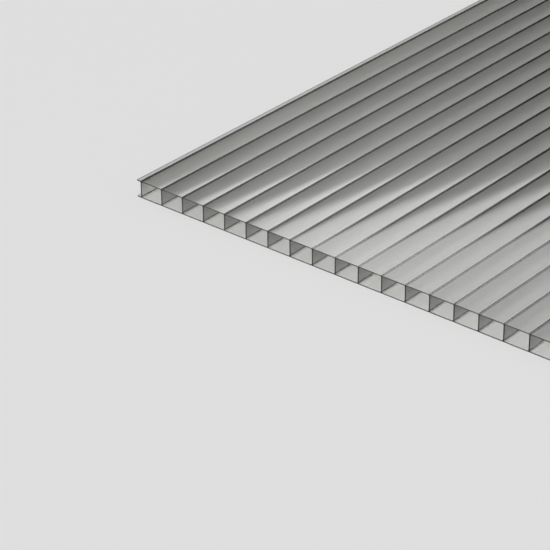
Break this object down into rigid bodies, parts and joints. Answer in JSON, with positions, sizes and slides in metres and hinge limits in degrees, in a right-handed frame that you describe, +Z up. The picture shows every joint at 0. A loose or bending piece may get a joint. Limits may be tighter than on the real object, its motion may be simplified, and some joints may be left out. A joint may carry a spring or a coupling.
{
  "type": "multiwall polycarbonate sheet",
  "caption": "Clear twin-wall polycarbonate glazing pane, two thin skins joined by upright ribs with open flutes between them, lying flat",
  "frame": {"origin": "middle of the underside, on the floor the pane lies on", "axes": "X across the flutes, +Y along the flutes, +Z up through the thickness"},
  "size_m": [0.4582, 0.61, 0.004],
  "materials": {
    "twinwall_sheet": "clear, glossy, faint grey-green cast"
  },
  "bodies": {
    "root": {"twinwall_sheet": "twinwall_sheet"}
  },
  "joints": []
}
